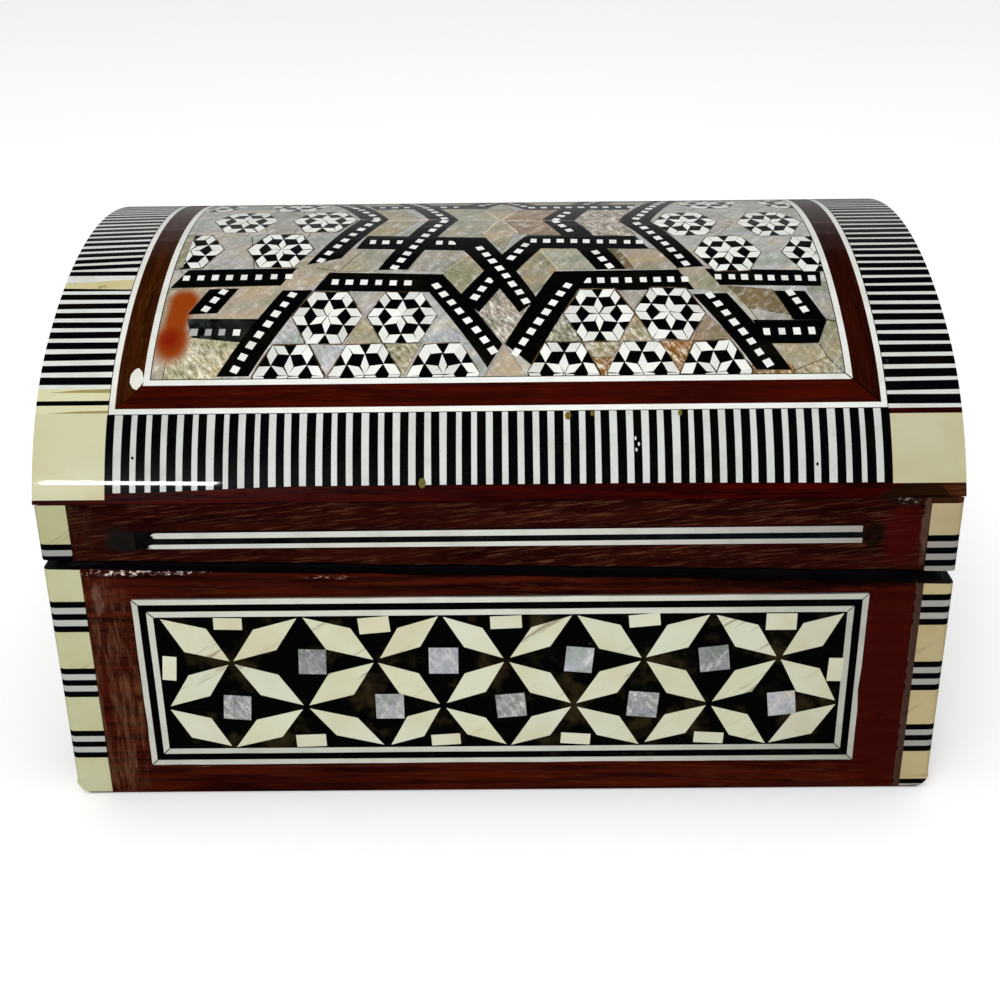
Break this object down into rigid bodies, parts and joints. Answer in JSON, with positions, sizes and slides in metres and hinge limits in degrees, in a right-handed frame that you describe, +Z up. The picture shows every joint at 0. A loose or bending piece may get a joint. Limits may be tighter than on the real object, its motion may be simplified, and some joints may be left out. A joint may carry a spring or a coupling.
{
  "type": "inlaid trinket box",
  "caption": "Small hollow wooden box with a domed lift-off lid, covered in bone, black and white stringing and mother-of-pearl mosaic, for jewellery and keepsakes.",
  "frame": {"origin": "middle of the underside, on the surface the box stands on", "axes": "+X to the right along the front, +Y to the back, +Z up; the face seen in the picture looks towards -Y"},
  "size_m": [0.127, 0.104, 0.0745],
  "materials": {
    "mahogany": "dark red-brown stained wood under gloss lacquer, with fine grain along the boards",
    "bone": "polished cream bone, or the plastic cut in its place, yellowed and finely cracked",
    "white_strip": "cool off-white strip, lacquered",
    "black_resin": "glossy black filler resin and strip",
    "striped_banding": "black strips between white or bone ones, lacquered",
    "pearl_shell": "mother-of-pearl pieces in grey, tan and greenish gold with black straps and star tiles, polished"
  },
  "bodies": {
    "root": {"base_floor": "mahogany", "base_front_wall": "mahogany", "base_right_wall": "mahogany", "base_back_wall": "mahogany", "base_left_wall": "mahogany", "lid_vault": "mahogany", "lid_front_rail": "mahogany", "lid_back_rail": "mahogany", "lid_left_end": "mahogany", "lid_right_end": "mahogany", "base_front_left_banding": "striped_banding", "base_front_right_banding": "striped_banding", "base_back_left_banding": "striped_banding", "base_back_right_banding": "striped_banding", "lid_front_left_banding": "striped_banding", "lid_front_right_banding": "striped_banding", "lid_back_left_banding": "striped_banding", "lid_back_right_banding": "striped_banding", "front_outer_white_string": "white_strip", "front_black_string": "black_resin", "front_inner_white_string": "white_strip", "front_mosaic_ground": "black_resin", "front_bone_lozenges": "bone", "front_rail_string": "striped_banding", "right_outer_white_string": "white_strip", "right_black_string": "black_resin", "right_inner_white_string": "white_strip", "right_mosaic_ground": "black_resin", "right_bone_lozenges": "bone", "right_rail_string": "striped_banding", "back_outer_white_string": "white_strip", "back_black_string": "black_resin", "back_inner_white_string": "white_strip", "back_mosaic_ground": "black_resin", "back_bone_lozenges": "bone", "back_rail_string": "striped_banding", "left_outer_white_string": "white_strip", "left_black_string": "black_resin", "left_inner_white_string": "white_strip", "left_mosaic_ground": "black_resin", "left_bone_lozenges": "bone", "left_rail_string": "striped_banding", "dome_front_stripes": "striped_banding", "dome_back_stripes": "striped_banding", "dome_left_stripes": "striped_banding", "dome_right_stripes": "striped_banding", "dome_front_left_block": "bone", "dome_front_right_block": "bone", "dome_back_left_block": "bone", "dome_back_right_block": "bone", "dome_outer_line": "white_strip", "dome_wood_band": "mahogany", "dome_inner_line": "white_strip", "dome_pearl_field": "pearl_shell"}
  },
  "joints": []
}
